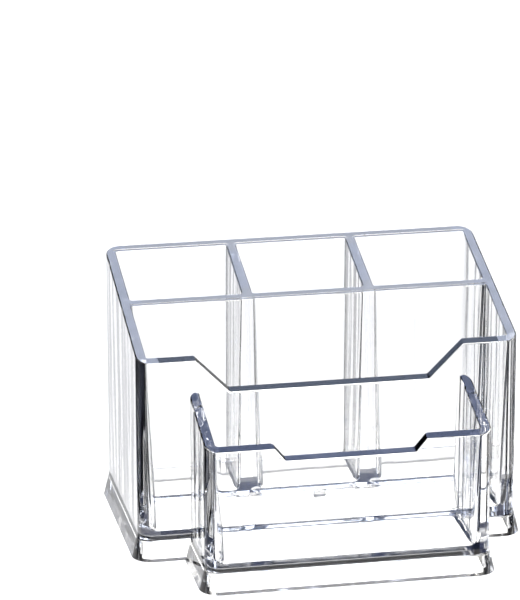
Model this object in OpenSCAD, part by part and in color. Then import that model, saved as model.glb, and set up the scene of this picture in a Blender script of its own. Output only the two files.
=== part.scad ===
// Clear pen holder: a tall body with three rear cells and a full-width slot,
// and a lower, narrower pocket in front, all on a flared plinth.
// The frame: X across, Y from front to back, Z up, origin at the middle of the base.

/* [Body] */
// Width of the body across its side walls
body_w = 155; // [130:1:180]
// Height of the rear wall's rim
rear_h = 106.5; // [95:0.5:125]
// Height of the front wall's rim
front_h = 83; // [75:0.5:90]
// Depth of each row of compartments at its rim
row_d = 35.3; // [30:0.1:45]
// Height of the front wall's lowered middle
front_dip_h = 68.9; // [64:0.1:72]
// Width of the lowered middle at its bottom
front_dip_w = 81; // [60:1:90]
// Width of the lowered middle at its top
front_dip_top_w = 109; // [95:1:115]

/* [Pocket] */
// Width of the front pocket across its side walls
pocket_w = 114.5; // [100:0.5:120]
// Height of the pocket's front rim
pocket_h = 58.5; // [50:0.5:62]
// Height of the pocket rim's lowered middle
pocket_dip_h = 53; // [46:0.5:54]
// Width of the pocket rim's lowered middle at its bottom
pocket_dip_w = 52; // [40:1:56]
// Width of the pocket rim's lowered middle at its top
pocket_dip_top_w = 61; // [58:1:70]

/* [Walls] */
// Thickness of every wall at its rim
wall = 4.2; // [3:0.1:5]
// Thickness of the floor
floor_t = 3; // [2.5:0.1:4]
// Lean of every inner face from the vertical, in degrees
draft = 0.8; // [0.4:0.1:1.2]
// Radius of the upright outer corners
corner_r = 6; // [4:0.5:8]
// Radius of the upright inner corners at the floor
inner_r = 3; // [2:0.5:4]
// Radius of the same corners at the rim
rim_corner_r = 0.8; // [0.4:0.1:2]

/* [Plinth] */
// Height of the flared plinth
plinth_h = 10; // [9:0.5:12]
// How far the plinth stands out at its foot
flare = 2.4; // [1.5:0.1:4]
// Thickness of the plinth's skirt at its foot
skirt_t = 4; // [3:0.1:5]

/* [Hidden] */
$fn = 48;
corner_fn = 32;          // facets round a hull's own corners
slit = 0.01;             // thickness of the thin slices that hulls are drawn from
reach = 400;             // larger than the whole part

// The layout along Y: pocket, slot, rear cells.
body_d = 2 * row_d + 3 * wall;
pocket_d = row_d + wall;
front_y = (pocket_d - body_d) / 2;
rear_y = front_y + body_d;
pocket_y = front_y - pocket_d;
slot_y0 = front_y + wall;
cross_y = slot_y0 + row_d;
cells_y0 = cross_y + wall;
pocket_y0 = pocket_y + wall;

// The rims of the body and of the pocket lie in two parallel sloping planes.
rim_slope = atan((rear_h - front_h) / body_d);
pocket_rear_h = pocket_h + pocket_d * tan(rim_slope);

// The layout across X: three equal cells between two dividers.
inner_w = body_w - 2 * wall;
cell_w = (inner_w - 2 * wall) / 3;
divider_x = (cell_w + wall) / 2;

// The floor stands a little above the plinth's top edge.
floor_z = plinth_h + 0.5;
under_z = floor_z - floor_t;

// How far an inner face has come in by the time it reaches the floor.
lean = tan(draft);
root = lean * (rear_h - floor_z);
// Thickness of a wall at its root, with its inner corner.
band = wall + root + inner_r;

// A box between two corners.
module span(low, high) {
  translate(low) cube(high - low);
}

// An upright block with rounded corners, from (x0, y0) to (x1, y1), as high as h.
module rounded_block(x0, y0, x1, y1, r, h) {
  linear_extrude(height = h)
    union() {
      translate([x0 + r, y0]) square([x1 - x0 - 2 * r, y1 - y0]);
      translate([x0, y0 + r]) square([x1 - x0, y1 - y0 - 2 * r]);
      for (x = [x0 + r, x1 - r], y = [y0 + r, y1 - r]) translate([x, y]) circle(r);
    }
}

// Everything under a plane that passes through height h at y and climbs to the rear.
module under_rim(y, h) {
  translate([0, y, h]) rotate([rim_slope, 0, 0])
    span([-reach, -reach, -2 * reach], [reach, reach, 0]);
}

// The wedge cut out of a rim: low and flat in the middle, with sloping shoulders.
module rim_dip(y, depth, dip_h, low_w, top_w, rim_h) {
  rise = (rim_h - dip_h) * cos(rim_slope);
  spread = (top_w - low_w) / 2;
  over = 10;
  top = low_w / 2 + spread * (rise + over) / rise;
  translate([0, y, dip_h]) rotate([rim_slope, 0, 0]) translate([0, depth, 0]) rotate([90, 0, 0])
    linear_extrude(height = 2 * depth)
      polygon([[-low_w / 2, 0], [low_w / 2, 0], [top, rise + over], [-top, rise + over]]);
}

// The solid that a flared plinth fills: one rounded outline at its foot, a smaller one on top.
module flared_block(x0, y0, x1, y1, r, out, h) {
  hull()
    for (x = [x0 + r, x1 - r], y = [y0 + r, y1 - r])
      translate([x, y, 0]) cylinder(r1 = r + out, r2 = r, h = h, $fn = corner_fn);
}

// A compartment above the floor, with leaning faces and corners that sharpen towards the rim.
// The rim outline is given at the height `mouth`; the faces are carried on above it.
module compartment(x0, y0, x1, y1, mouth) {
  above = 20;
  low = lean * (mouth - floor_z) + inner_r;
  high = lean * above - rim_corner_r;
  hull() {
    for (x = [x0 + low, x1 - low], y = [y0 + low, y1 - low])
      translate([x, y, floor_z]) cylinder(r = inner_r, h = slit, $fn = corner_fn);
    for (x = [x0 - high, x1 + high], y = [y0 - high, y1 + high])
      translate([x, y, mouth + above]) cylinder(r = rim_corner_r, h = slit, $fn = corner_fn);
  }
}

// The outside of the tall body, cut off along its sloping rims.
module body_block() {
  intersection() {
    rounded_block(-body_w / 2, front_y, body_w / 2, rear_y, corner_r, rear_h + 1);
    under_rim(front_y, front_h);
  }
}

// The outside of the pocket, run on into the front wall that closes it.
module pocket_block() {
  intersection() {
    rounded_block(-pocket_w / 2, pocket_y, pocket_w / 2, front_y + band, corner_r, rear_h);
    under_rim(pocket_y, pocket_h);
  }
}

// The flared plinth round the foot of both.
module plinth_block() {
  flared_block(-body_w / 2, front_y, body_w / 2, rear_y, corner_r, flare, plinth_h);
  flared_block(-pocket_w / 2, pocket_y, pocket_w / 2, front_y + band, corner_r, flare, plinth_h);
}

// The outside of the whole moulding.
module outside() {
  body_block();
  pocket_block();
  plinth_block();
}

// The three cells in the rear row.
module rear_cells() {
  for (i = [-1, 0, 1])
    compartment(i * (cell_w + wall) - cell_w / 2, cells_y0, i * (cell_w + wall) + cell_w / 2,
      rear_y - wall, rear_h);
}

// The slot behind the front wall, open from side to side.
module slot() {
  compartment(-inner_w / 2, slot_y0, inner_w / 2, cross_y, front_h);
}

// The pocket. Its rear face is the front wall's own, which stands upright.
module pocket() {
  rear_lean = lean * (pocket_rear_h - floor_z);
  intersection() {
    compartment(-pocket_w / 2 + wall, pocket_y0, pocket_w / 2 - wall, front_y + rear_lean, pocket_rear_h);
    span([-reach, -reach, 0], [reach, front_y, reach]);
  }
}

// The hollow underneath, inside the skirt.
module underside() {
  inset = skirt_t - flare;
  for (low = [[-body_w / 2, front_y, body_w / 2, rear_y],
              [-pocket_w / 2, pocket_y, pocket_w / 2, front_y + band]])
    translate([0, 0, -slit])
      rounded_block(low[0] + inset, low[1] + inset, low[2] - inset, low[3] - inset,
        corner_r - inset, under_z + slit);
}

module front_rim_dip() {
  rim_dip(front_y, band, front_dip_h, front_dip_w, front_dip_top_w, front_h);
}

module pocket_rim_dip() {
  rim_dip(pocket_y, band, pocket_dip_h, pocket_dip_w, pocket_dip_top_w, pocket_h);
}

// The regions that the moulding is divided into meet along plain planes.
side_x = body_w / 2 - band;
pocket_side_x = pocket_w / 2 - band;
cross_lo = cross_y - root - inner_r;
cross_hi = cells_y0 + root + inner_r;
rear_lo = rear_y - band;
front_hi = slot_y0 + root + inner_r;
pocket_hi = pocket_y + band;
base_y = front_y - flare;   // where the pocket's base joins the body's

module rear_wall() {
  color("aliceblue", 0.5) intersection() {
    difference() { body_block(); rear_cells(); }
    span([-side_x, rear_lo, floor_z], [side_x, reach, reach]);
  }
}

module side_wall(side) {
  color("lavender", 0.5) intersection() {
    difference() { body_block(); rear_cells(); slot(); }
    span([side > 0 ? side_x : -reach, -reach, floor_z], [side > 0 ? reach : -side_x, reach, reach]);
  }
}

module cross_wall() {
  color("aliceblue", 0.5) intersection() {
    difference() { body_block(); rear_cells(); slot(); }
    span([-side_x, cross_lo, floor_z], [side_x, cross_hi, reach]);
  }
}

module divider(side) {
  half_root = wall / 2 + root;
  half_top = wall / 2 - lean;
  color("aliceblue", 0.5) intersection() {
    translate([side * divider_x, rear_lo, 0]) rotate([90, 0, 0])
      linear_extrude(height = rear_lo - cross_hi)
        polygon([[-half_root, floor_z], [half_root, floor_z],
          [half_top, rear_h + 1], [-half_top, rear_h + 1]]);
    under_rim(front_y, front_h);
  }
}

module front_wall() {
  color("lightsteelblue", 0.5) intersection() {
    difference() { body_block(); slot(); front_rim_dip(); }
    span([-side_x, -reach, floor_z], [side_x, front_hi, reach]);
  }
}

module body_floor() {
  color("whitesmoke", 0.5) intersection() {
    outside();
    span([-reach, base_y, under_z], [reach, reach, floor_z]);
  }
}

module body_plinth() {
  color("whitesmoke", 0.5) intersection() {
    difference() { plinth_block(); underside(); }
    span([-reach, base_y, 0], [reach, reach, under_z]);
  }
}

module pocket_side_wall(side) {
  color("lavender", 0.5) intersection() {
    difference() { pocket_block(); pocket(); }
    span([side > 0 ? pocket_side_x : -reach, -reach, floor_z],
      [side > 0 ? reach : -pocket_side_x, front_y, reach]);
  }
}

module pocket_front_wall() {
  color("lightsteelblue", 0.5) intersection() {
    difference() { pocket_block(); pocket(); pocket_rim_dip(); }
    span([-pocket_side_x, -reach, floor_z], [pocket_side_x, pocket_hi, reach]);
  }
}

module pocket_floor() {
  color("whitesmoke", 0.5) intersection() {
    outside();
    span([-reach, -reach, under_z], [reach, base_y, floor_z]);
  }
}

module pocket_plinth() {
  color("whitesmoke", 0.5) intersection() {
    difference() { plinth_block(); underside(); }
    span([-reach, -reach, 0], [reach, base_y, under_z]);
  }
}

rear_wall();
side_wall(-1);  // left_side_wall
side_wall(1);  // right_side_wall
cross_wall();
divider(-1);  // left_divider
divider(1);  // right_divider
front_wall();
body_floor();
body_plinth();
pocket_side_wall(-1);  // pocket_left_wall
pocket_side_wall(1);  // pocket_right_wall
pocket_front_wall();
pocket_floor();
pocket_plinth();
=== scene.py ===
"""Clear moulded pen holder: builds the seamless clear moulding and cuts it into its named panels."""

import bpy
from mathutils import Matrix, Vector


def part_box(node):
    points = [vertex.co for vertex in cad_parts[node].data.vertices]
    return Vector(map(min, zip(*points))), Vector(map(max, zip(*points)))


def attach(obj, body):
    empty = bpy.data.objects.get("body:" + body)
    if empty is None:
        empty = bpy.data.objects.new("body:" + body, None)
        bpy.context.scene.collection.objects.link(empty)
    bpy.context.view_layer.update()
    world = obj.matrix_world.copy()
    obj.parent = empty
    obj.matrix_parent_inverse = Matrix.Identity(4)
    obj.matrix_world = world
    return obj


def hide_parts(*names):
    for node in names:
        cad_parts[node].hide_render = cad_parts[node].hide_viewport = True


bl_info = {
    "name": "Clear pen holder",
    "version": (1, 0, 0),
    "blender": (4, 5, 0),
    "location": "View3D > Sidebar > Pen Holder",
    "description": "Builds a clear moulded pen holder, panel by panel, on its packed frame",
    "category": "Add Mesh",
}

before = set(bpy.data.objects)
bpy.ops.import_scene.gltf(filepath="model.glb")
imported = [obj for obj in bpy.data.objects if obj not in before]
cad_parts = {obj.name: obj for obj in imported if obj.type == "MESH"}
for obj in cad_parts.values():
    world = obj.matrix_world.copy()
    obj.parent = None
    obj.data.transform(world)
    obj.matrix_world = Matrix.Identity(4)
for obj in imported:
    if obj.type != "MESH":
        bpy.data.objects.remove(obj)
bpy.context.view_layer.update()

from math import cos, pi, radians, sin, tan
from types import SimpleNamespace
from typing import NamedTuple

import bmesh
import bpy
import numpy as np
from bpy.props import FloatProperty, FloatVectorProperty, IntProperty, PointerProperty
from mathutils import Matrix, Vector

MM = 0.001               # surfaces are worked out in millimetres and go into meshes in metres
ROOT = "root"            # the one body that every panel rides on
MOULDING = "moulding"    # the whole moulding, before it is cut into panels
LIP = radians(75)        # how far round its quarter circle a cutter follows a rounded edge
JOG = 0.03               # how far the cutting planes pass beside the moulding's own faces
FAR = 300.0              # beyond the whole holder
CLEARANCE = 30.0         # how far a cutter goes on above the rim
SHARP = radians(35)      # edges that turn by more than this stay sharp
RIM_RINGS = 7            # rings round the outer edge of a rim
LIP_RINGS = 6            # rings round an edge that a cutter leaves
FLOOR_RINGS = 9          # rings round the edge of a floor
CEILING_RINGS = 5        # rings round the edge of a hollow's ceiling
DIP_POINTS = 8           # points round a bottom corner of a dip
PAST_RIM = 1.8           # length of a dip cutter's shoulder against the dip's own
GATE_POINTS = 32         # points round the gate stub
DISC_POINTS = 96         # points round the pale floor
FLOOR_Z = (-2.0, -0.02)  # bottom and top of the pale floor, just under the holder's foot
CARD_Y = (-120.0, 140.0)    # where a black card begins and ends
CARD_T = 1.0             # its thickness
WHITE_TOP = 0.12         # sine of the height up to which the surround is white
CEILING_FROM = 0.30      # sine of the height from which it is the dark blue ceiling
MIX_A, MIX_B, MIX_OUT = 6, 7, 2    # a Mix node's colour sockets, whose names others share


def face(node, side, axis):
    """One face of a CAD node's box in millimetres: side 0 is the low face and 1 the high one."""
    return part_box(node)[side][axis] / MM


# ---------------------------------------------------------------- settings


class HolderSizes(bpy.types.PropertyGroup):
    """Sizes of the moulding"""

    front_h: FloatProperty(name="Front rim", description="Height of the body's front rim",
                           default=0.083, unit="LENGTH")
    pocket_h: FloatProperty(name="Pocket rim", description="Height of the pocket's front rim",
                            default=0.0585, unit="LENGTH")
    wall: FloatProperty(name="Wall", description="Wall thickness at the rim", default=0.0042, unit="LENGTH")
    draft: FloatProperty(name="Draft", description="Lean of the inner faces", default=radians(0.8),
                         unit="ROTATION")
    outer_r: FloatProperty(name="Outer corners", description="Radius of the upright outer corners",
                           default=0.006, unit="LENGTH")
    inner_r: FloatProperty(name="Inner corners", description="Radius of the inner corners at the floor",
                           default=0.003, unit="LENGTH")
    rim_corner_r: FloatProperty(name="Rim corners", description="Radius of the same corners at the rim",
                                default=0.0008, unit="LENGTH")
    floor_r: FloatProperty(name="Floor edge", description="Radius round the edge of each floor",
                           default=0.0024, unit="LENGTH")
    edge_r: FloatProperty(name="Rim edge", description="Rounding of the rims' edges",
                          default=0.0006, unit="LENGTH")
    plinth_h: FloatProperty(name="Plinth", description="Height of the flared plinth",
                            default=0.01, unit="LENGTH")
    skirt_t: FloatProperty(name="Skirt", description="Thickness of the skirt at its foot",
                           default=0.004, unit="LENGTH")
    ceiling_r: FloatProperty(name="Ceiling edge", description="Radius round the hollow's ceiling",
                             default=0.001, unit="LENGTH")
    dip_h: FloatProperty(name="Front dip", description="Height of the front wall's low middle",
                         default=0.0689, unit="LENGTH")
    dip_w: FloatProperty(name="Front dip width", description="Width of the dip at its bottom",
                         default=0.081, unit="LENGTH")
    dip_mouth_w: FloatProperty(name="Front dip mouth", description="Width of the dip at the rim",
                               default=0.109, unit="LENGTH")
    pocket_dip_h: FloatProperty(name="Pocket dip", description="Height of the pocket's low middle",
                                default=0.053, unit="LENGTH")
    pocket_dip_w: FloatProperty(name="Pocket dip width", description="Width of the dip at its bottom",
                                default=0.052, unit="LENGTH")
    pocket_dip_mouth_w: FloatProperty(name="Pocket dip mouth", description="Width of the dip at the rim",
                                      default=0.061, unit="LENGTH")
    dip_r: FloatProperty(name="Dip corners", description="Radius at the bottom corners of a dip",
                         default=0.0012, unit="LENGTH")
    gate_d: FloatProperty(name="Gate", description="Width of the gate stub under the floor",
                          default=0.005, unit="LENGTH")
    gate_h: FloatProperty(name="Gate height", description="Length of the gate stub",
                          default=0.0028, unit="LENGTH")
    gate_x: FloatProperty(name="Gate offset", description="How far the gate lies right of centre",
                          default=0.004, unit="LENGTH")
    steps: IntProperty(name="Arc steps", description="Segments round a quarter circle", default=14,
                       min=4, max=32)


class HolderFinish(bpy.types.PropertyGroup):
    """Finish of the clear plastic"""

    tint: FloatVectorProperty(name="Tint", description="Colour of the clear plastic", subtype="COLOR",
                              default=(0.99, 0.99, 0.987), min=0.0, max=1.0)
    blue: FloatVectorProperty(name="Deep tint", description="Tint of the front's deeper parts",
                              subtype="COLOR", default=(0.965, 0.97, 0.98), min=0.0, max=1.0)
    grey: FloatVectorProperty(name="Base tint", description="Tint of the base's deeper parts",
                              subtype="COLOR", default=(0.94, 0.925, 0.885), min=0.0, max=1.0)
    dark: FloatVectorProperty(name="Gate tint", description="Tint of the torn gate's deeper parts",
                              subtype="COLOR", default=(0.0, 0.0, 0.0), min=0.0, max=1.0)
    ior: FloatProperty(name="Refraction", description="Index of refraction of the plastic", default=1.57)
    skin_ior: FloatProperty(name="Skin", description="Index of refraction of a glossier skin", default=1.7)
    polish: FloatProperty(name="Roughness", description="Roughness of a polished face", default=0.0)
    wear: FloatProperty(name="Wear", description="Extra roughness where the plastic is marked",
                        default=0.03)


class StudioLook(bpy.types.PropertyGroup):
    """Floor, light and camera"""

    floor_colour: FloatVectorProperty(name="Floor", description="Colour of the pale floor", subtype="COLOR",
                                      default=(0.9, 0.9, 0.9), min=0.0, max=1.0)
    floor_r: FloatProperty(name="Floor radius", description="Radius of the pale floor", default=2.5,
                           unit="LENGTH")
    # after this many bounces inside the plastic the floor's colour is painted dark navy: painted shade
    painted_shade_bounces: FloatProperty(name="Fade", description="Inner bounces after which light is spent",
                                default=5.5)
    card_x: FloatProperty(name="Cards", description="How far out the black cards stand", default=0.12,
                          unit="LENGTH")
    card_h: FloatProperty(name="Card height", description="Height of the black cards", default=0.2,
                          unit="LENGTH")
    sun_power: FloatProperty(name="Overhead", description="Strength of the overhead light", default=3.7)
    sun_spread: FloatProperty(name="Overhead width", description="How wide the overhead light looks",
                              default=radians(60), unit="ROTATION")
    azimuth: FloatProperty(name="Azimuth", description="Camera's turn about the holder",
                           default=radians(-11.081), unit="ROTATION")
    elevation: FloatProperty(name="Elevation", description="Camera's angle above the floor",
                             default=radians(17.927), unit="ROTATION")
    roll: FloatProperty(name="Roll", description="Camera's roll", default=radians(-0.107), unit="ROTATION")
    distance: FloatProperty(name="Distance", description="Camera's distance from its aim", default=1.5327,
                            unit="LENGTH")
    aim: FloatVectorProperty(name="Aim", description="Point at the middle of the view",
                             default=(-0.02086, 0.01671, 0.09389), subtype="TRANSLATION")
    lens: FloatProperty(name="Lens", description="Focal length on a 36 mm sensor", default=227.48)


SETTINGS = {"holder_sizes": HolderSizes, "holder_finish": HolderFinish, "studio_look": StudioLook}


class PlasticFinish(NamedTuple):
    """What sets one finish of the plastic apart from the others, the painted tint of its reflections among
    them.
    """

    deep: str                # the finish setting that its deeper parts are tinted with
    painted_reflection_tint: tuple             # painted tint of what the surface mirrors: painted reflection and painted shade
    wave_size: float         # waves in its faces, per metre
    wave_depth: float        # their depth in metres
    gloss: float = 0.0       # weight of a glossier skin
    dull: float = 0.0        # roughness that a less polished face adds


# Each finish's second value is a painted reflection tint: navy on the front and pocket walls paints their
# dark rims, and grey-blue on the side walls paints dark streaks. Warm tints on the rear, base and floor
# paint the light grey rims.
FINISHES = {
    "clear_walls": PlasticFinish("tint", (1.0, 0.95, 0.9), 90.0, 0.00014, gloss=0.6),
    "side": PlasticFinish("tint", (0.5, 0.53, 0.66), 150.0, 0.0004, gloss=0.8),
    "front": PlasticFinish("blue", (0.1, 0.17, 0.29), 60.0, 0.00005),
    "clear_pocket": PlasticFinish("blue", (0.15, 0.24, 0.55), 80.0, 0.0001),
    "pocket_side": PlasticFinish("blue", (0.15, 0.24, 0.55), 170.0, 0.0004),
    "clear_base": PlasticFinish("grey", (1.0, 0.98, 0.94), 90.0, 0.00015),
    "floor": PlasticFinish("grey", (1.0, 0.98, 0.94), 60.0, 0.0001, dull=0.05),
    "torn": PlasticFinish("dark", (0.4, 0.4, 0.4), 700.0, 0.0004, dull=0.15),
}


# ---------------------------------------------------------------- layout


def in_millimetres(settings):
    """The settings as plain values, with every length in millimetres.

    Lengths keep single precision, so that faces of neighbouring cutters don't fall exactly together.
    """
    values = {}
    for name in settings.__annotations__:
        value = getattr(settings, name)
        if settings.bl_rna.properties[name].unit == "LENGTH":
            value = float(np.float32(round(value / MM, 4)))
        values[name] = value
    return SimpleNamespace(**values)


class Layout:
    """Where the moulding's faces and joints lie, from the frame's boxes and the sizes, in millimetres."""

    def __init__(self, settings):
        self.sizes = sizes = in_millimetres(settings)
        wall = sizes.wall
        self.half_w = face("right_side_wall", 1, 0)
        self.front_y = face("front_wall", 0, 1)
        self.rear_y = face("rear_wall", 1, 1)
        self.rear_h = face("rear_wall", 1, 2)
        self.pocket_half_w = face("pocket_right_wall", 1, 0)
        self.pocket_y = face("pocket_front_wall", 0, 1)
        self.floor_z = face("body_floor", 1, 2)
        self.under_z = face("body_floor", 0, 2)
        self.flare = face("body_plinth", 1, 0) - self.half_w
        self.lean = tan(sizes.draft)
        self.slope = (self.rear_h - sizes.front_h) / (self.rear_y - self.front_y)
        self.slot_y = self.front_y + wall
        row_d = (self.rear_y - self.front_y - 3 * wall) / 2
        self.cross_y = self.slot_y + row_d
        self.cells_y = self.cross_y + wall
        self.inner_w = 2 * (self.half_w - wall)
        self.cell_w = (self.inner_w - 2 * wall) / 3
        # the planes that part the panels from each other
        self.side_x = face("right_side_wall", 0, 0)
        self.pocket_side_x = face("pocket_right_wall", 0, 0)
        self.rear_lo = face("rear_wall", 0, 1)
        band = self.rear_y - self.rear_lo
        self.front_hi = self.front_y + band
        self.cross_lo = self.cross_y - (band - wall)
        self.cross_hi = self.cells_y + (band - wall)
        self.pocket_hi = self.pocket_y + band
        self.base_y = face("body_floor", 0, 1)

    def body_rim(self, y):
        """Height of the body's sloping rim plane at y."""
        return self.rear_h + self.slope * (y - self.rear_y)

    def pocket_rim(self, y):
        """Height of the pocket's sloping rim plane at y, parallel to the body's."""
        return self.sizes.pocket_h + self.slope * (y - self.pocket_y)


# ---------------------------------------------------------------- surfaces


def outline(x0, y0, x1, y1, r, steps):
    """Points and outward normals of a rounded rectangle, anticlockwise from the right side.

    Each corner is its centre, r in from both sides, plus r times (cos a, sin a) over a quarter turn.
    """
    a = np.linspace(0, pi / 2, steps + 1)[None, :] + (pi / 2) * np.arange(4)[:, None]
    normals = np.stack([np.cos(a), np.sin(a)], axis=-1)
    centres = np.array([[x1 - r, y1 - r], [x0 + r, y1 - r], [x0 + r, y0 + r], [x1 - r, y0 + r]])
    return (centres[:, None, :] + r * normals).reshape(-1, 2), normals.reshape(-1, 2)


def full_turn(count):
    """Angles of a number of equal steps round a whole circle."""
    return np.linspace(0, 2 * pi, count, endpoint=False)


def ring(points, z):
    """A ring in space over an outline, at one height or at a height for each point."""
    return np.column_stack([points, np.broadcast_to(z, len(points))])


def skin(rings):
    """Vertices and faces of the closed surface through equal rings, in order.

    Vertex (i, j) of the grid is point j of ring i. One flat face closes each end.
    """
    rings = np.asarray(rings)
    m, n = rings.shape[:2]
    index = np.arange(m * n).reshape(m, n)
    after = np.roll(index, -1, axis=1)
    quads = np.stack([index[:-1], after[:-1], after[1:], index[1:]], axis=-1).reshape(-1, 4)
    return rings.reshape(-1, 3), quads.tolist() + [index[0, ::-1].tolist(), index[-1].tolist()]


def outer_block(lay, x0, y0, x1, y1, rim):
    """Outside of the body or the pocket: a flared foot, upright sides and a rounded sloping top.

    The foot is the outline moved out by the flare. At angle t round the top edge the outline is moved
    in by e (1 - cos t) and stands e (1 - sin t) under the rim plane.
    """
    sizes = lay.sizes
    e = sizes.edge_r
    points, normals = outline(x0, y0, x1, y1, sizes.outer_r, sizes.steps)
    rings = [ring(points + lay.flare * normals, 0.0), ring(points, sizes.plinth_h)]
    for t in np.linspace(0, pi / 2, RIM_RINGS):
        rings.append(ring(points - e * (1 - cos(t)) * normals, rim(points[:, 1]) - e * (1 - sin(t))))
    return skin(rings)


def compartment(lay, x0, y0, x1, y1, mouth, rim, rear_lean=1.0):
    """Inside of one compartment: a flat floor, a rounded floor edge, leaning faces and a rounded rim.

    The faces run straight from the outline at height `mouth` to the outline moved in by
    lean (mouth - floor). At angle t round the floor edge that outline is moved in by f (1 - sin t)
    more and stands f (1 - cos t) above the floor. At angle t round the rim edge the wall is moved out
    by e (1 - cos t) at e (1 - sin t) under the rim plane, and then leaves along its own tangent.
    """
    sizes = lay.sizes
    f, e = sizes.floor_r, sizes.edge_r
    low = lay.lean * (mouth - lay.floor_z)
    rings = []
    for t in np.linspace(0, pi / 2, FLOOR_RINGS):
        more = f * (1 - sin(t))
        inset = low + more
        points, _ = outline(x0 + inset, y0 + inset, x1 - inset, y1 - low * rear_lean - more,
                            sizes.inner_r - more, sizes.steps)
        rings.append(ring(points, lay.floor_z - JOG + f * (1 - cos(t))))
    foot = rings[-1]
    points, normals = outline(x0, y0, x1, y1, sizes.rim_corner_r, sizes.steps)
    step = ring(points, mouth) - foot
    for t in np.linspace(0, LIP, LIP_RINGS):
        under = rim(foot[:, 1]) - e * (1 - sin(t)) - foot[:, 2]
        share = under / (step[:, 2] - lay.slope * step[:, 1])
        rings.append(foot + share[:, None] * step + ring(e * (1 - cos(t)) * normals, 0.0))
    rings.append(rings[-1] + ring(sin(LIP) * normals, cos(LIP)))
    rings.append(rings[-1] + np.array([0.0, 0.0, CLEARANCE]))
    return skin(rings)


def dip_outline(width, mouth_w, rise, r, grow):
    """Front view of a rim dip, `grow` larger all round: a trapezoid with round bottom corners.

    Each corner is an arc of radius r + grow about a centre r above the bottom and r in from the
    shoulder, and the shoulder goes on along its own slope past the rim.
    """
    tilt = np.arctan2(rise, (mouth_w - width) / 2)
    centre = np.array([width / 2 - r * tan(tilt / 2), r])
    a = np.linspace(-pi / 2, tilt - pi / 2, DIP_POINTS)
    arc = centre + (r + grow) * np.column_stack([np.cos(a), np.sin(a)])
    end = arc[-1] + PAST_RIM * rise / sin(tilt) * np.array([cos(tilt), sin(tilt)])
    right = np.vstack([arc, end])
    return np.vstack([right, (right * [-1, 1])[::-1]])


def rim_dip(lay, y0, width, mouth_w, dip_h, rim_h):
    """Cutter for the dip in a wall's rim, carried through the wall along the rim's slope.

    At angle t round an edge the front view grows by e (1 - cos t), at e (1 - sin t) inside the
    wall's face, and leaves the wall along that tangent. The wall's inner face leans, so it lies
    wall + lean (rim - z) behind its outer face.
    """
    sizes = lay.sizes
    e = sizes.edge_r
    stations = [(e * (1 - cos(LIP)) + k * sin(LIP), e * (1 - sin(LIP)) - k * cos(LIP)) for k in (2, 1)]
    stations += [(e * (1 - cos(t)), e * (1 - sin(t))) for t in np.linspace(LIP, 0, LIP_RINGS)]
    rings = []
    for back, order in ((0, stations), (1, stations[::-1])):
        for grow, deep in order:
            flat = dip_outline(width, mouth_w, rim_h - dip_h, sizes.dip_r, grow)
            z = dip_h + flat[:, 1]
            y = y0 + back * (sizes.wall + lay.lean * (rim_h - z)) + (1 - 2 * back) * deep
            rings.append(np.column_stack([flat[:, 0], y, z + lay.slope * (y - y0)]))
    return skin(rings)


def hollow(lay, x0, y0, x1, y1):
    """Hollow under the floor: upright inner faces and a rounded edge round its ceiling.

    At angle t round the ceiling's edge the outline is moved in by c (1 - cos t) at c (1 - sin t)
    under the ceiling.
    """
    sizes = lay.sizes
    c = sizes.ceiling_r
    inset = sizes.skirt_t - lay.flare
    points, normals = outline(x0 + inset, y0 + inset, x1 - inset, y1 - inset,
                              sizes.outer_r - inset, sizes.steps)
    rings = [ring(points, -2.0)]
    for t in np.linspace(0, pi / 2, CEILING_RINGS):
        rings.append(ring(points - c * (1 - cos(t)) * normals, lay.under_z - c * (1 - sin(t))))
    return skin(rings)


def gate_stub(lay):
    """Stub that the moulding gate left under the floor: a short rod with a torn, sloping end.

    Round the rod at angle a, its end lies 0.4 cos a + 0.2 sin 3a above its mean height.
    """
    sizes = lay.sizes
    a = full_turn(GATE_POINTS)
    centre = np.array([sizes.gate_x, (lay.front_y + lay.rear_y) / 2])
    points = centre + sizes.gate_d / 2 * np.column_stack([np.cos(a), np.sin(a)])
    end = lay.under_z - sizes.gate_h + 0.4 * np.cos(a) + 0.2 * np.sin(3 * a)
    return skin([ring(points, end), ring(points, (lay.under_z + lay.floor_z) / 2)])


def prism(corners, z0, z1):
    """Closed upright prism over a list of corners."""
    points = np.array(corners, dtype=float)
    return skin([ring(points, z0), ring(points, z1)])


def slab(x0, y0, x1, y1, z0, z1):
    """Closed box from (x0, y0, z0) to (x1, y1, z1)."""
    return prism([(x0, y0), (x1, y0), (x1, y1), (x0, y1)], z0, z1)


# ---------------------------------------------------------------- mesh tools


def solid(name, points, polygons):
    """A mesh object of one closed surface that points outwards, in millimetres."""
    mesh = bpy.data.meshes.new(name)
    mesh.from_pydata(points.tolist(), [], polygons)
    bm = bmesh.new()
    bm.from_mesh(mesh)
    bmesh.ops.recalc_face_normals(bm, faces=bm.faces)
    bm.to_mesh(mesh)
    bm.free()
    obj = bpy.data.objects.new(name, mesh)
    bpy.context.scene.collection.objects.link(obj)
    return obj


def drop(obj):
    """Removes an object and its mesh."""
    mesh = obj.data
    bpy.data.objects.remove(obj)
    bpy.data.meshes.remove(mesh)


def settle(obj):
    """Puts the result of an object's modifiers into its mesh."""
    bpy.context.view_layer.update()
    result = bpy.data.meshes.new_from_object(obj.evaluated_get(bpy.context.evaluated_depsgraph_get()))
    old = obj.data
    obj.modifiers.clear()
    obj.data = result
    bpy.data.meshes.remove(old)


def combine(target, tool, operation):
    """Joins, cuts or crosses the target with a tool solid, and removes the tool."""
    mod = target.modifiers.new("combine", "BOOLEAN")
    mod.operation = operation
    mod.solver = "EXACT"
    mod.material_mode = "TRANSFER"
    mod.object = tool
    settle(target)
    drop(tool)
    if not target.data.polygons:
        raise RuntimeError(f"{operation} left nothing of {target.name}")


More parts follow.
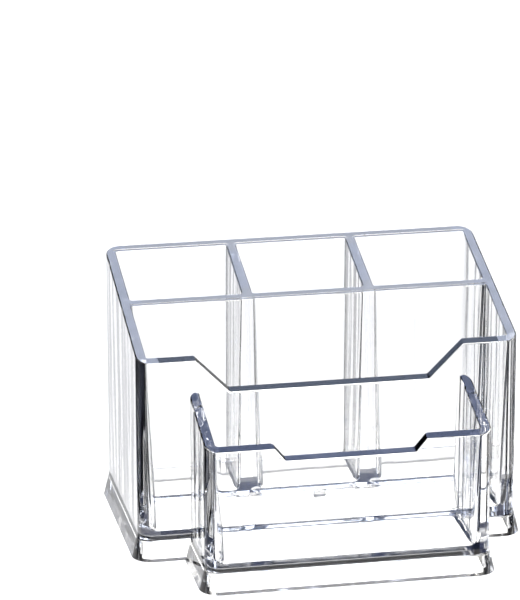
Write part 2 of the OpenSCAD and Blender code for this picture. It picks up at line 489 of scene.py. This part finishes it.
def cast(lay):
    """Casts the whole moulding as one seamless closed solid, in millimetres."""
    sizes = lay.sizes
    wall = sizes.wall
    w, pw = lay.half_w, lay.pocket_half_w
    outside = outer_block(lay, -pw, lay.pocket_y, pw, lay.front_y + wall / 2, lay.pocket_rim)
    pocket = solid("pocket", *outside)
    inside = compartment(lay, wall - pw, lay.pocket_y + wall, pw - wall, lay.front_y + JOG,
                         lay.pocket_rim(lay.front_y), lay.pocket_rim, rear_lean=0.0)
    combine(pocket, solid("inside", *inside), "DIFFERENCE")
    body = solid(MOULDING, *outer_block(lay, -w, lay.front_y, w, lay.rear_y, lay.body_rim))
    combine(body, pocket, "UNION")
    pitch = lay.cell_w + wall
    cuts = [compartment(lay, x - lay.cell_w / 2, lay.cells_y, x + lay.cell_w / 2, lay.rear_y - wall,
                        lay.rear_h, lay.body_rim) for x in (-pitch, 0, pitch)]
    cuts.append(compartment(lay, -lay.inner_w / 2, lay.slot_y, lay.inner_w / 2, lay.cross_y,
                            sizes.front_h, lay.body_rim))
    cuts.append(hollow(lay, -w, lay.front_y, w, lay.rear_y))
    cuts.append(hollow(lay, -pw, lay.pocket_y, pw, lay.front_y + 2 * wall))
    cuts.append(rim_dip(lay, lay.front_y, sizes.dip_w, sizes.dip_mouth_w, sizes.dip_h, sizes.front_h))
    cuts.append(rim_dip(lay, lay.pocket_y, sizes.pocket_dip_w, sizes.pocket_dip_mouth_w,
                        sizes.pocket_dip_h, sizes.pocket_h))
    for cut in cuts:
        combine(body, solid("cut", *cut), "DIFFERENCE")


def add_panel(name, slot, region, finish=None, extra=None):
    """Cuts the part inside a region from the moulding, as a closed panel that stands for its CAD node.

    finish is a finish other than the slot's own, and extra a small torn stub that is joined to the panel.
    """
    blank = bpy.data.objects[MOULDING]
    panel = blank.copy()
    panel.data = blank.data.copy()
    panel.name = f"{name}_clear"
    panel.data.materials.clear()
    panel.data.materials.append(bpy.data.materials[f"{finish or slot} polystyrene"])
    bpy.context.scene.collection.objects.link(panel)
    tool = solid("region", *region)
    tool.data.materials.append(bpy.data.materials["joint face"])
    combine(panel, tool, "INTERSECT")
    if extra:
        stub = solid("extra", *extra)
        stub.data.materials.append(bpy.data.materials["torn polystyrene"])
        combine(panel, stub, "UNION")
    panel.data.transform(Matrix.Scale(MM, 4))
    panel.data.shade_smooth()
    panel.data.set_sharp_from_angle(angle=SHARP)
    normals = panel.modifiers.new("normals", "WEIGHTED_NORMAL")
    normals.keep_sharp = True
    normals.weight = 100
    settle(panel)
    panel.data.name = panel.name
    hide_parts(name)
    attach(panel, ROOT)


# ---------------------------------------------------------------- materials


def new_group(name, inputs, outputs):
    """A shader node group with named inputs and outputs, and its input and output nodes."""
    group = bpy.data.node_groups.new(name, "ShaderNodeTree")
    for label, kind, default in inputs:
        socket = group.interface.new_socket(name=label, in_out="INPUT", socket_type=kind)
        socket.default_value = default
    for label, kind in outputs:
        group.interface.new_socket(name=label, in_out="OUTPUT", socket_type=kind)
    return group, group.nodes.new("NodeGroupInput"), group.nodes.new("NodeGroupOutput")


def place(tree, kind, label, **feeds):
    """A node with its sockets linked or set by name; feeds are sockets or plain values."""
    node = tree.nodes.new(kind)
    node.label = label
    for name, value in feeds.items():
        socket = node.inputs[name.replace("_", " ")]
        if isinstance(value, bpy.types.NodeSocket):
            tree.links.new(value, socket)
        else:
            socket.default_value = value
    return node


def noise(tree, label, vector, size, detail, roughness):
    """The value of a noise pattern at a place; size is in waves per metre."""
    node = place(tree, "ShaderNodeTexNoise", label, Vector=vector, Scale=size, Detail=detail,
                 Roughness=roughness)
    return node.outputs["Fac"]


def flow_waves():
    """Group: the slow waves that flow and shrinkage leave in a moulded face, drawn out upwards."""
    group, given, made = new_group("flow waves", [("Wave Size", "NodeSocketFloat", 30.0)],
                                   [("Height", "NodeSocketFloat")])
    where = place(group, "ShaderNodeTexCoord", "where")
    drawn = place(group, "ShaderNodeMapping", "drawn out", Vector=where.outputs["Object"],
                  Scale=(1.0, 1.0, 0.08))
    waves = noise(group, "waves", drawn.outputs["Vector"], given.outputs["Wave Size"], 1.0, 0.35)
    group.links.new(waves, made.inputs["Height"])


def handling_marks():
    """Group: a faint, patchy dulling with fine marks, as on a plastic face that has been handled."""
    group, given, made = new_group(
        "handling marks", [("Polish", "NodeSocketFloat", 0.0), ("Wear", "NodeSocketFloat", 0.03)],
        [("Roughness", "NodeSocketFloat")])
    links = group.links
    where = place(group, "ShaderNodeTexCoord", "where").outputs["Object"]
    worn = place(group, "ShaderNodeMapRange", "worn", Value=noise(group, "patches", where, 55.0, 4.0, 0.6),
                 From_Min=0.55, From_Max=0.75)
    fine = place(group, "ShaderNodeMapRange", "fine", Value=noise(group, "specks", where, 1400.0, 2.0, 0.5),
                 From_Min=0.5, From_Max=0.7)
    both = place(group, "ShaderNodeMath", "worn and fine")
    both.operation = "MULTIPLY"
    links.new(worn.outputs["Result"], both.inputs[0])
    links.new(fine.outputs["Result"], both.inputs[1])
    total = place(group, "ShaderNodeMath", "wear over polish")
    total.operation = "MULTIPLY_ADD"
    links.new(both.outputs["Value"], total.inputs[0])
    links.new(given.outputs["Wear"], total.inputs[1])
    links.new(given.outputs["Polish"], total.inputs[2])
    links.new(total.outputs["Value"], made.inputs["Roughness"])


def melt_tint():
    """Group: the plastic's tint, a little deeper where the melt ran last."""
    group, given, made = new_group(
        "melt tint", [("Clear", "NodeSocketColor", (1.0, 1.0, 1.0, 1.0)),
                      ("Deep", "NodeSocketColor", (0.9, 0.92, 1.0, 1.0))],
        [("Color", "NodeSocketColor")])
    links = group.links
    where = place(group, "ShaderNodeTexCoord", "where").outputs["Object"]
    mix = place(group, "ShaderNodeMix", "clear to deep")
    mix.data_type = "RGBA"
    links.new(noise(group, "clouds", where, 22.0, 2.0, 0.5), mix.inputs["Factor"])
    links.new(given.outputs["Clear"], mix.inputs[MIX_A])
    links.new(given.outputs["Deep"], mix.inputs[MIX_B])
    links.new(mix.outputs[MIX_OUT], made.inputs["Color"])


def add_group(tree, name, **values):
    """Places a node group in a material with its own values."""
    node = tree.nodes.new("ShaderNodeGroup")
    node.node_tree = bpy.data.node_groups[name]
    for label, value in values.items():
        node.inputs[label.replace("_", " ")].default_value = value
    return node


def new_material(name):
    """A material, its node tree and its Principled shader."""
    mat = bpy.data.materials.new(name)
    mat.use_nodes = True
    return mat, mat.node_tree, mat.node_tree.nodes["Principled BSDF"]


def clear_plastic(name, finish, look):
    """Clear moulded plastic in one finish; light that falls through it reaches the floor unbent. Its
    reflections carry a painted tint: painted reflection and painted shade.
    """
    _, tree, shader = new_material(f"{name} polystyrene")
    links = tree.links
    shader.inputs["IOR"].default_value = finish.ior
    shader.inputs["Transmission Weight"].default_value = 1.0
    # painted reflection and painted shade: the Specular Tint colours and darkens what the surface mirrors
    shader.inputs["Specular Tint"].default_value = (*look.painted_reflection_tint, 1.0)
    shader.inputs["Coat Weight"].default_value = look.gloss
    shader.inputs["Coat IOR"].default_value = finish.skin_ior
    shader.inputs["Coat Roughness"].default_value = 0.0
    tint = add_group(tree, "melt tint", Clear=(*finish.tint, 1.0), Deep=(*getattr(finish, look.deep), 1.0))
    links.new(tint.outputs["Color"], shader.inputs["Base Color"])
    marks = add_group(tree, "handling marks", Polish=finish.polish + look.dull, Wear=finish.wear)
    links.new(marks.outputs["Roughness"], shader.inputs["Roughness"])
    waves = add_group(tree, "flow waves", Wave_Size=look.wave_size)
    bump = place(tree, "ShaderNodeBump", "waves", Strength=1.0, Distance=look.wave_depth,
                 Height=waves.outputs["Height"])
    links.new(bump.outputs["Normal"], shader.inputs["Normal"])
    ray = place(tree, "ShaderNodeLightPath", "ray")
    clear = place(tree, "ShaderNodeBsdfTransparent", "no shadow")
    mix = place(tree, "ShaderNodeMixShader", "plastic", Fac=ray.outputs["Is Shadow Ray"])
    links.new(shader.outputs["BSDF"], mix.inputs[1])
    links.new(clear.outputs["BSDF"], mix.inputs[2])
    links.new(mix.outputs["Shader"], tree.nodes["Material Output"].inputs["Surface"])


def joint_face():
    """Face where two panels meet inside the moulding: it isn't seen, and light passes it unbent."""
    _, _, shader = new_material("joint face")
    shader.inputs["Alpha"].default_value = 0.0


def pale_floor(look):
    """Matt pale floor, painted dark navy for light that has bounced about inside the plastic on its way:
    painted shade that draws the dark lines seen inside the walls.
    """
    mat, tree, shader = new_material("pale floor")
    shader.inputs["Roughness"].default_value = 0.9
    ray = place(tree, "ShaderNodeLightPath", "ray")
    fade = place(tree, "ShaderNodeMapRange", "fade", Value=ray.outputs["Glossy Depth"],
                 From_Max=look.painted_shade_bounces, To_Min=1.0, To_Max=0.0)
    dim = place(tree, "ShaderNodeMix", "dim", Factor=fade.outputs["Result"])
    dim.data_type = "RGBA"
    # painted shade: the dark navy that the floor's colour takes on after a few bounces inside the plastic
    dim.inputs[MIX_A].default_value = (0.012, 0.015, 0.03, 1.0)
    dim.inputs[MIX_B].default_value = (*look.floor_colour, 1.0)
    tree.links.new(dim.outputs[MIX_OUT], shader.inputs["Base Color"])
    return mat


def black_card():
    """Matt black card that only light turned back inside the plastic meets."""
    mat, tree, shader = new_material("black card")
    shader.inputs["Base Color"].default_value = (0.004, 0.004, 0.006, 1.0)
    shader.inputs["Roughness"].default_value = 1.0
    ray = place(tree, "ShaderNodeLightPath", "ray")
    tree.links.new(ray.outputs["Glossy Depth"], shader.inputs["Alpha"])
    return mat


# ---------------------------------------------------------------- operators


class CastMoulding(bpy.types.Operator):
    """Casts the seamless moulding that the panels are cut from"""

    bl_idname = "pen_holder.cast"
    bl_label = "Cast the moulding"

    def execute(self, context):
        finish = context.scene.holder_finish
        flow_waves()
        handling_marks()
        melt_tint()
        joint_face()
        for name, look in FINISHES.items():
            clear_plastic(name, finish, look)
        cast(Layout(context.scene.holder_sizes))
        return {"FINISHED"}


class AddBodyWalls(bpy.types.Operator):
    """Adds the body's upright panels"""

    bl_idname = "pen_holder.body_walls"
    bl_label = "Body walls"

    def execute(self, context):
        lay = Layout(context.scene.holder_sizes)
        z, x, px = lay.floor_z, lay.side_x, lay.pocket_side_x
        front = lay.front_y - JOG
        toe = lay.front_y - lay.sizes.inner_r
        add_panel("left_side_wall", "clear_walls", slab(-FAR, front, -x, FAR, z, FAR), "side")
        add_panel("right_side_wall", "clear_walls", slab(x, front, FAR, FAR, z, FAR), "side")
        add_panel("rear_wall", "clear_walls", slab(-x, lay.rear_lo, x, FAR, z, FAR))
        add_panel("cross_wall", "clear_walls", slab(-x, lay.cross_lo, x, lay.cross_hi, z, FAR))
        add_panel("left_divider", "clear_walls", slab(-x, lay.cross_hi, 0, lay.rear_lo, z, FAR), "side")
        add_panel("right_divider", "clear_walls", slab(0, lay.cross_hi, x, lay.rear_lo, z, FAR), "side")
        stepped = [(-x, front), (-px, front), (-px, toe), (px, toe), (px, front), (x, front),
                   (x, lay.front_hi), (-x, lay.front_hi)]
        add_panel("front_wall", "clear_walls", prism(stepped, z, FAR), "front")
        return {"FINISHED"}


class AddPocketWalls(bpy.types.Operator):
    """Adds the pocket's upright panels"""

    bl_idname = "pen_holder.pocket_walls"
    bl_label = "Pocket walls"

    def execute(self, context):
        lay = Layout(context.scene.holder_sizes)
        z, x = lay.floor_z, lay.pocket_side_x
        front = lay.front_y - JOG
        add_panel("pocket_left_wall", "clear_pocket", slab(-FAR, -FAR, -x, front, z, FAR), "pocket_side")
        add_panel("pocket_right_wall", "clear_pocket", slab(x, -FAR, FAR, front, z, FAR), "pocket_side")
        add_panel("pocket_front_wall", "clear_pocket", slab(-x, -FAR, x, lay.pocket_hi, z, FAR))
        return {"FINISHED"}


class AddBases(bpy.types.Operator):
    """Adds the floors and the flared plinths under them"""

    bl_idname = "pen_holder.bases"
    bl_label = "Floors and plinths"

    def execute(self, context):
        lay = Layout(context.scene.holder_sizes)
        low, high, y = lay.under_z - JOG, lay.floor_z, lay.base_y - JOG
        add_panel("body_floor", "clear_base", slab(-FAR, y, FAR, FAR, low, high), "floor", gate_stub(lay))
        add_panel("pocket_floor", "clear_base", slab(-FAR, -FAR, FAR, y, low, high), "floor")
        add_panel("body_plinth", "clear_base", slab(-FAR, y, FAR, FAR, -FAR, low))
        add_panel("pocket_plinth", "clear_base", slab(-FAR, -FAR, FAR, y, -FAR, low))
        drop(bpy.data.objects[MOULDING])
        return {"FINISHED"}


class SetStudio(bpy.types.Operator):
    """Sets up the pale floor, the soft studio light and the camera"""

    bl_idname = "pen_holder.studio"
    bl_label = "Studio"

    def execute(self, context):
        look = context.scene.studio_look
        self.add_floor(look)
        black = black_card()
        for name, side in (("left_card", -1), ("right_card", 1)):
            self.add_card(name, side, look, black)
        self.add_camera(context, look)
        self.add_surround(context)
        self.add_lights(context, look)
        self.set_bounces(context)
        return {"FINISHED"}

    def add_floor(self, look):
        """A thin disc that lies just under the holder's foot."""
        a = full_turn(DISC_POINTS)
        corners = look.floor_r / MM * np.column_stack([np.cos(a), np.sin(a)])
        self.add_stage(solid("floor", *prism(corners, *FLOOR_Z)), pale_floor(look))

    def add_card(self, name, side, look, material):
        """A black card beside the holder, at its left (side -1) or its right (side 1)."""
        x = side * look.card_x / MM
        card = solid(name, *slab(x - CARD_T / 2, CARD_Y[0], x + CARD_T / 2, CARD_Y[1], 0.0,
                                 look.card_h / MM))
        card.visible_shadow = False
        card.visible_diffuse = False
        self.add_stage(card, material)

    def add_stage(self, obj, material):
        """Brings a piece of the stage to metres and gives it its material."""
        obj.data.transform(Matrix.Scale(MM, 4))
        obj.data.materials.append(material)

    def add_camera(self, context, look):
        """Places the camera from its azimuth, elevation, roll and distance."""
        back = Vector((sin(look.azimuth) * cos(look.elevation), -cos(look.azimuth) * cos(look.elevation),
                       sin(look.elevation)))
        data = bpy.data.cameras.new("camera")
        data.sensor_width = 36.0
        data.lens = look.lens
        data.clip_end = 50.0
        camera = bpy.data.objects.new("camera", data)
        camera.location = Vector(look.aim) + back * look.distance
        turn = back.to_track_quat("Z", "Y").to_matrix() @ Matrix.Rotation(look.roll, 3, "Z")
        camera.rotation_euler = turn.to_euler()
        context.scene.collection.objects.link(camera)
        context.scene.camera = camera

    def add_surround(self, context):
        """A white backdrop all round under a dark blue ceiling."""
        world = bpy.data.worlds.new("surround")
        world.use_nodes = True
        tree = world.node_tree
        where = place(tree, "ShaderNodeTexCoord", "where")
        split = place(tree, "ShaderNodeSeparateXYZ", "height", Vector=where.outputs["Generated"])
        ramp = place(tree, "ShaderNodeValToRGB", "white to dark", Fac=split.outputs["Z"])
        low, high = ramp.color_ramp.elements
        low.position, low.color = WHITE_TOP, (1.0, 1.0, 1.0, 1.0)
        high.position, high.color = CEILING_FROM, (0.03, 0.035, 0.07, 1.0)
        tree.links.new(ramp.outputs["Color"], tree.nodes["Background"].inputs["Color"])
        context.scene.world = world

    def add_lights(self, context, look):
        """A very wide overhead light, and soft bluish panels behind."""
        sun = bpy.data.lights.new("overhead", "SUN")
        sun.energy = look.sun_power
        sun.angle = look.sun_spread
        sun.color = (1.0, 0.98, 0.93)
        lamp = bpy.data.objects.new("overhead", sun)
        lamp.rotation_euler = Vector((-0.2, -0.5, 1.0)).to_track_quat("Z", "Y").to_euler()
        context.scene.collection.objects.link(lamp)
        self.add_panel_light(context, "rear_panel", (0.35, 1.25, 1.5), 1.3, 15.0, (0.76, 0.83, 1.0))
        self.add_panel_light(context, "left_panel", (-1.1, 1.5, 0.82), 0.8, 4.0, (0.72, 0.8, 1.0))

    def set_bounces(self, context):
        """Lets light through all the walls, and spends it after a few turns inside the plastic."""
        scene = context.scene
        scene.view_settings.view_transform = "Standard"
        scene.cycles.max_bounces = 40
        scene.cycles.glossy_bounces = 8
        scene.cycles.transmission_bounces = 40
        scene.cycles.transparent_max_bounces = 64

    def add_panel_light(self, context, name, at, size, power, colour):
        """A round soft light that faces the holder: its place and width in metres, its power in watts."""
        lamp = bpy.data.lights.new(name, "AREA")
        lamp.shape = "DISK"
        lamp.size = size
        lamp.energy = power
        lamp.color = colour
        obj = bpy.data.objects.new(name, lamp)
        obj.location = at
        obj.rotation_euler = Vector(at).to_track_quat("Z", "Y").to_euler()
        context.scene.collection.objects.link(obj)


class PenHolderPanel(bpy.types.Panel):
    """Lists the steps that build the pen holder"""

    bl_label = "Pen Holder"
    bl_idname = "VIEW3D_PT_pen_holder"
    bl_space_type = "VIEW_3D"
    bl_region_type = "UI"
    bl_category = "Pen Holder"

    def draw(self, context):
        for group in SETTINGS:
            box = self.layout.box()
            for name in getattr(context.scene, group).__annotations__:
                box.prop(getattr(context.scene, group), name)
        for operator in OPERATORS:
            self.layout.operator(operator.bl_idname)


OPERATORS = (CastMoulding, AddBodyWalls, AddPocketWalls, AddBases, SetStudio)
CLASSES = (*SETTINGS.values(), *OPERATORS, PenHolderPanel)


def register():
    for cls in CLASSES:
        bpy.utils.register_class(cls)
    for name, cls in SETTINGS.items():
        setattr(bpy.types.Scene, name, PointerProperty(type=cls))


def unregister():
    for name in SETTINGS:
        delattr(bpy.types.Scene, name)
    for cls in reversed(CLASSES):
        bpy.utils.unregister_class(cls)


def main():
    register()
    for operator in OPERATORS:
        group, name = operator.bl_idname.split(".")
        getattr(getattr(bpy.ops, group), name)()


if __name__ == "__main__":
    main()
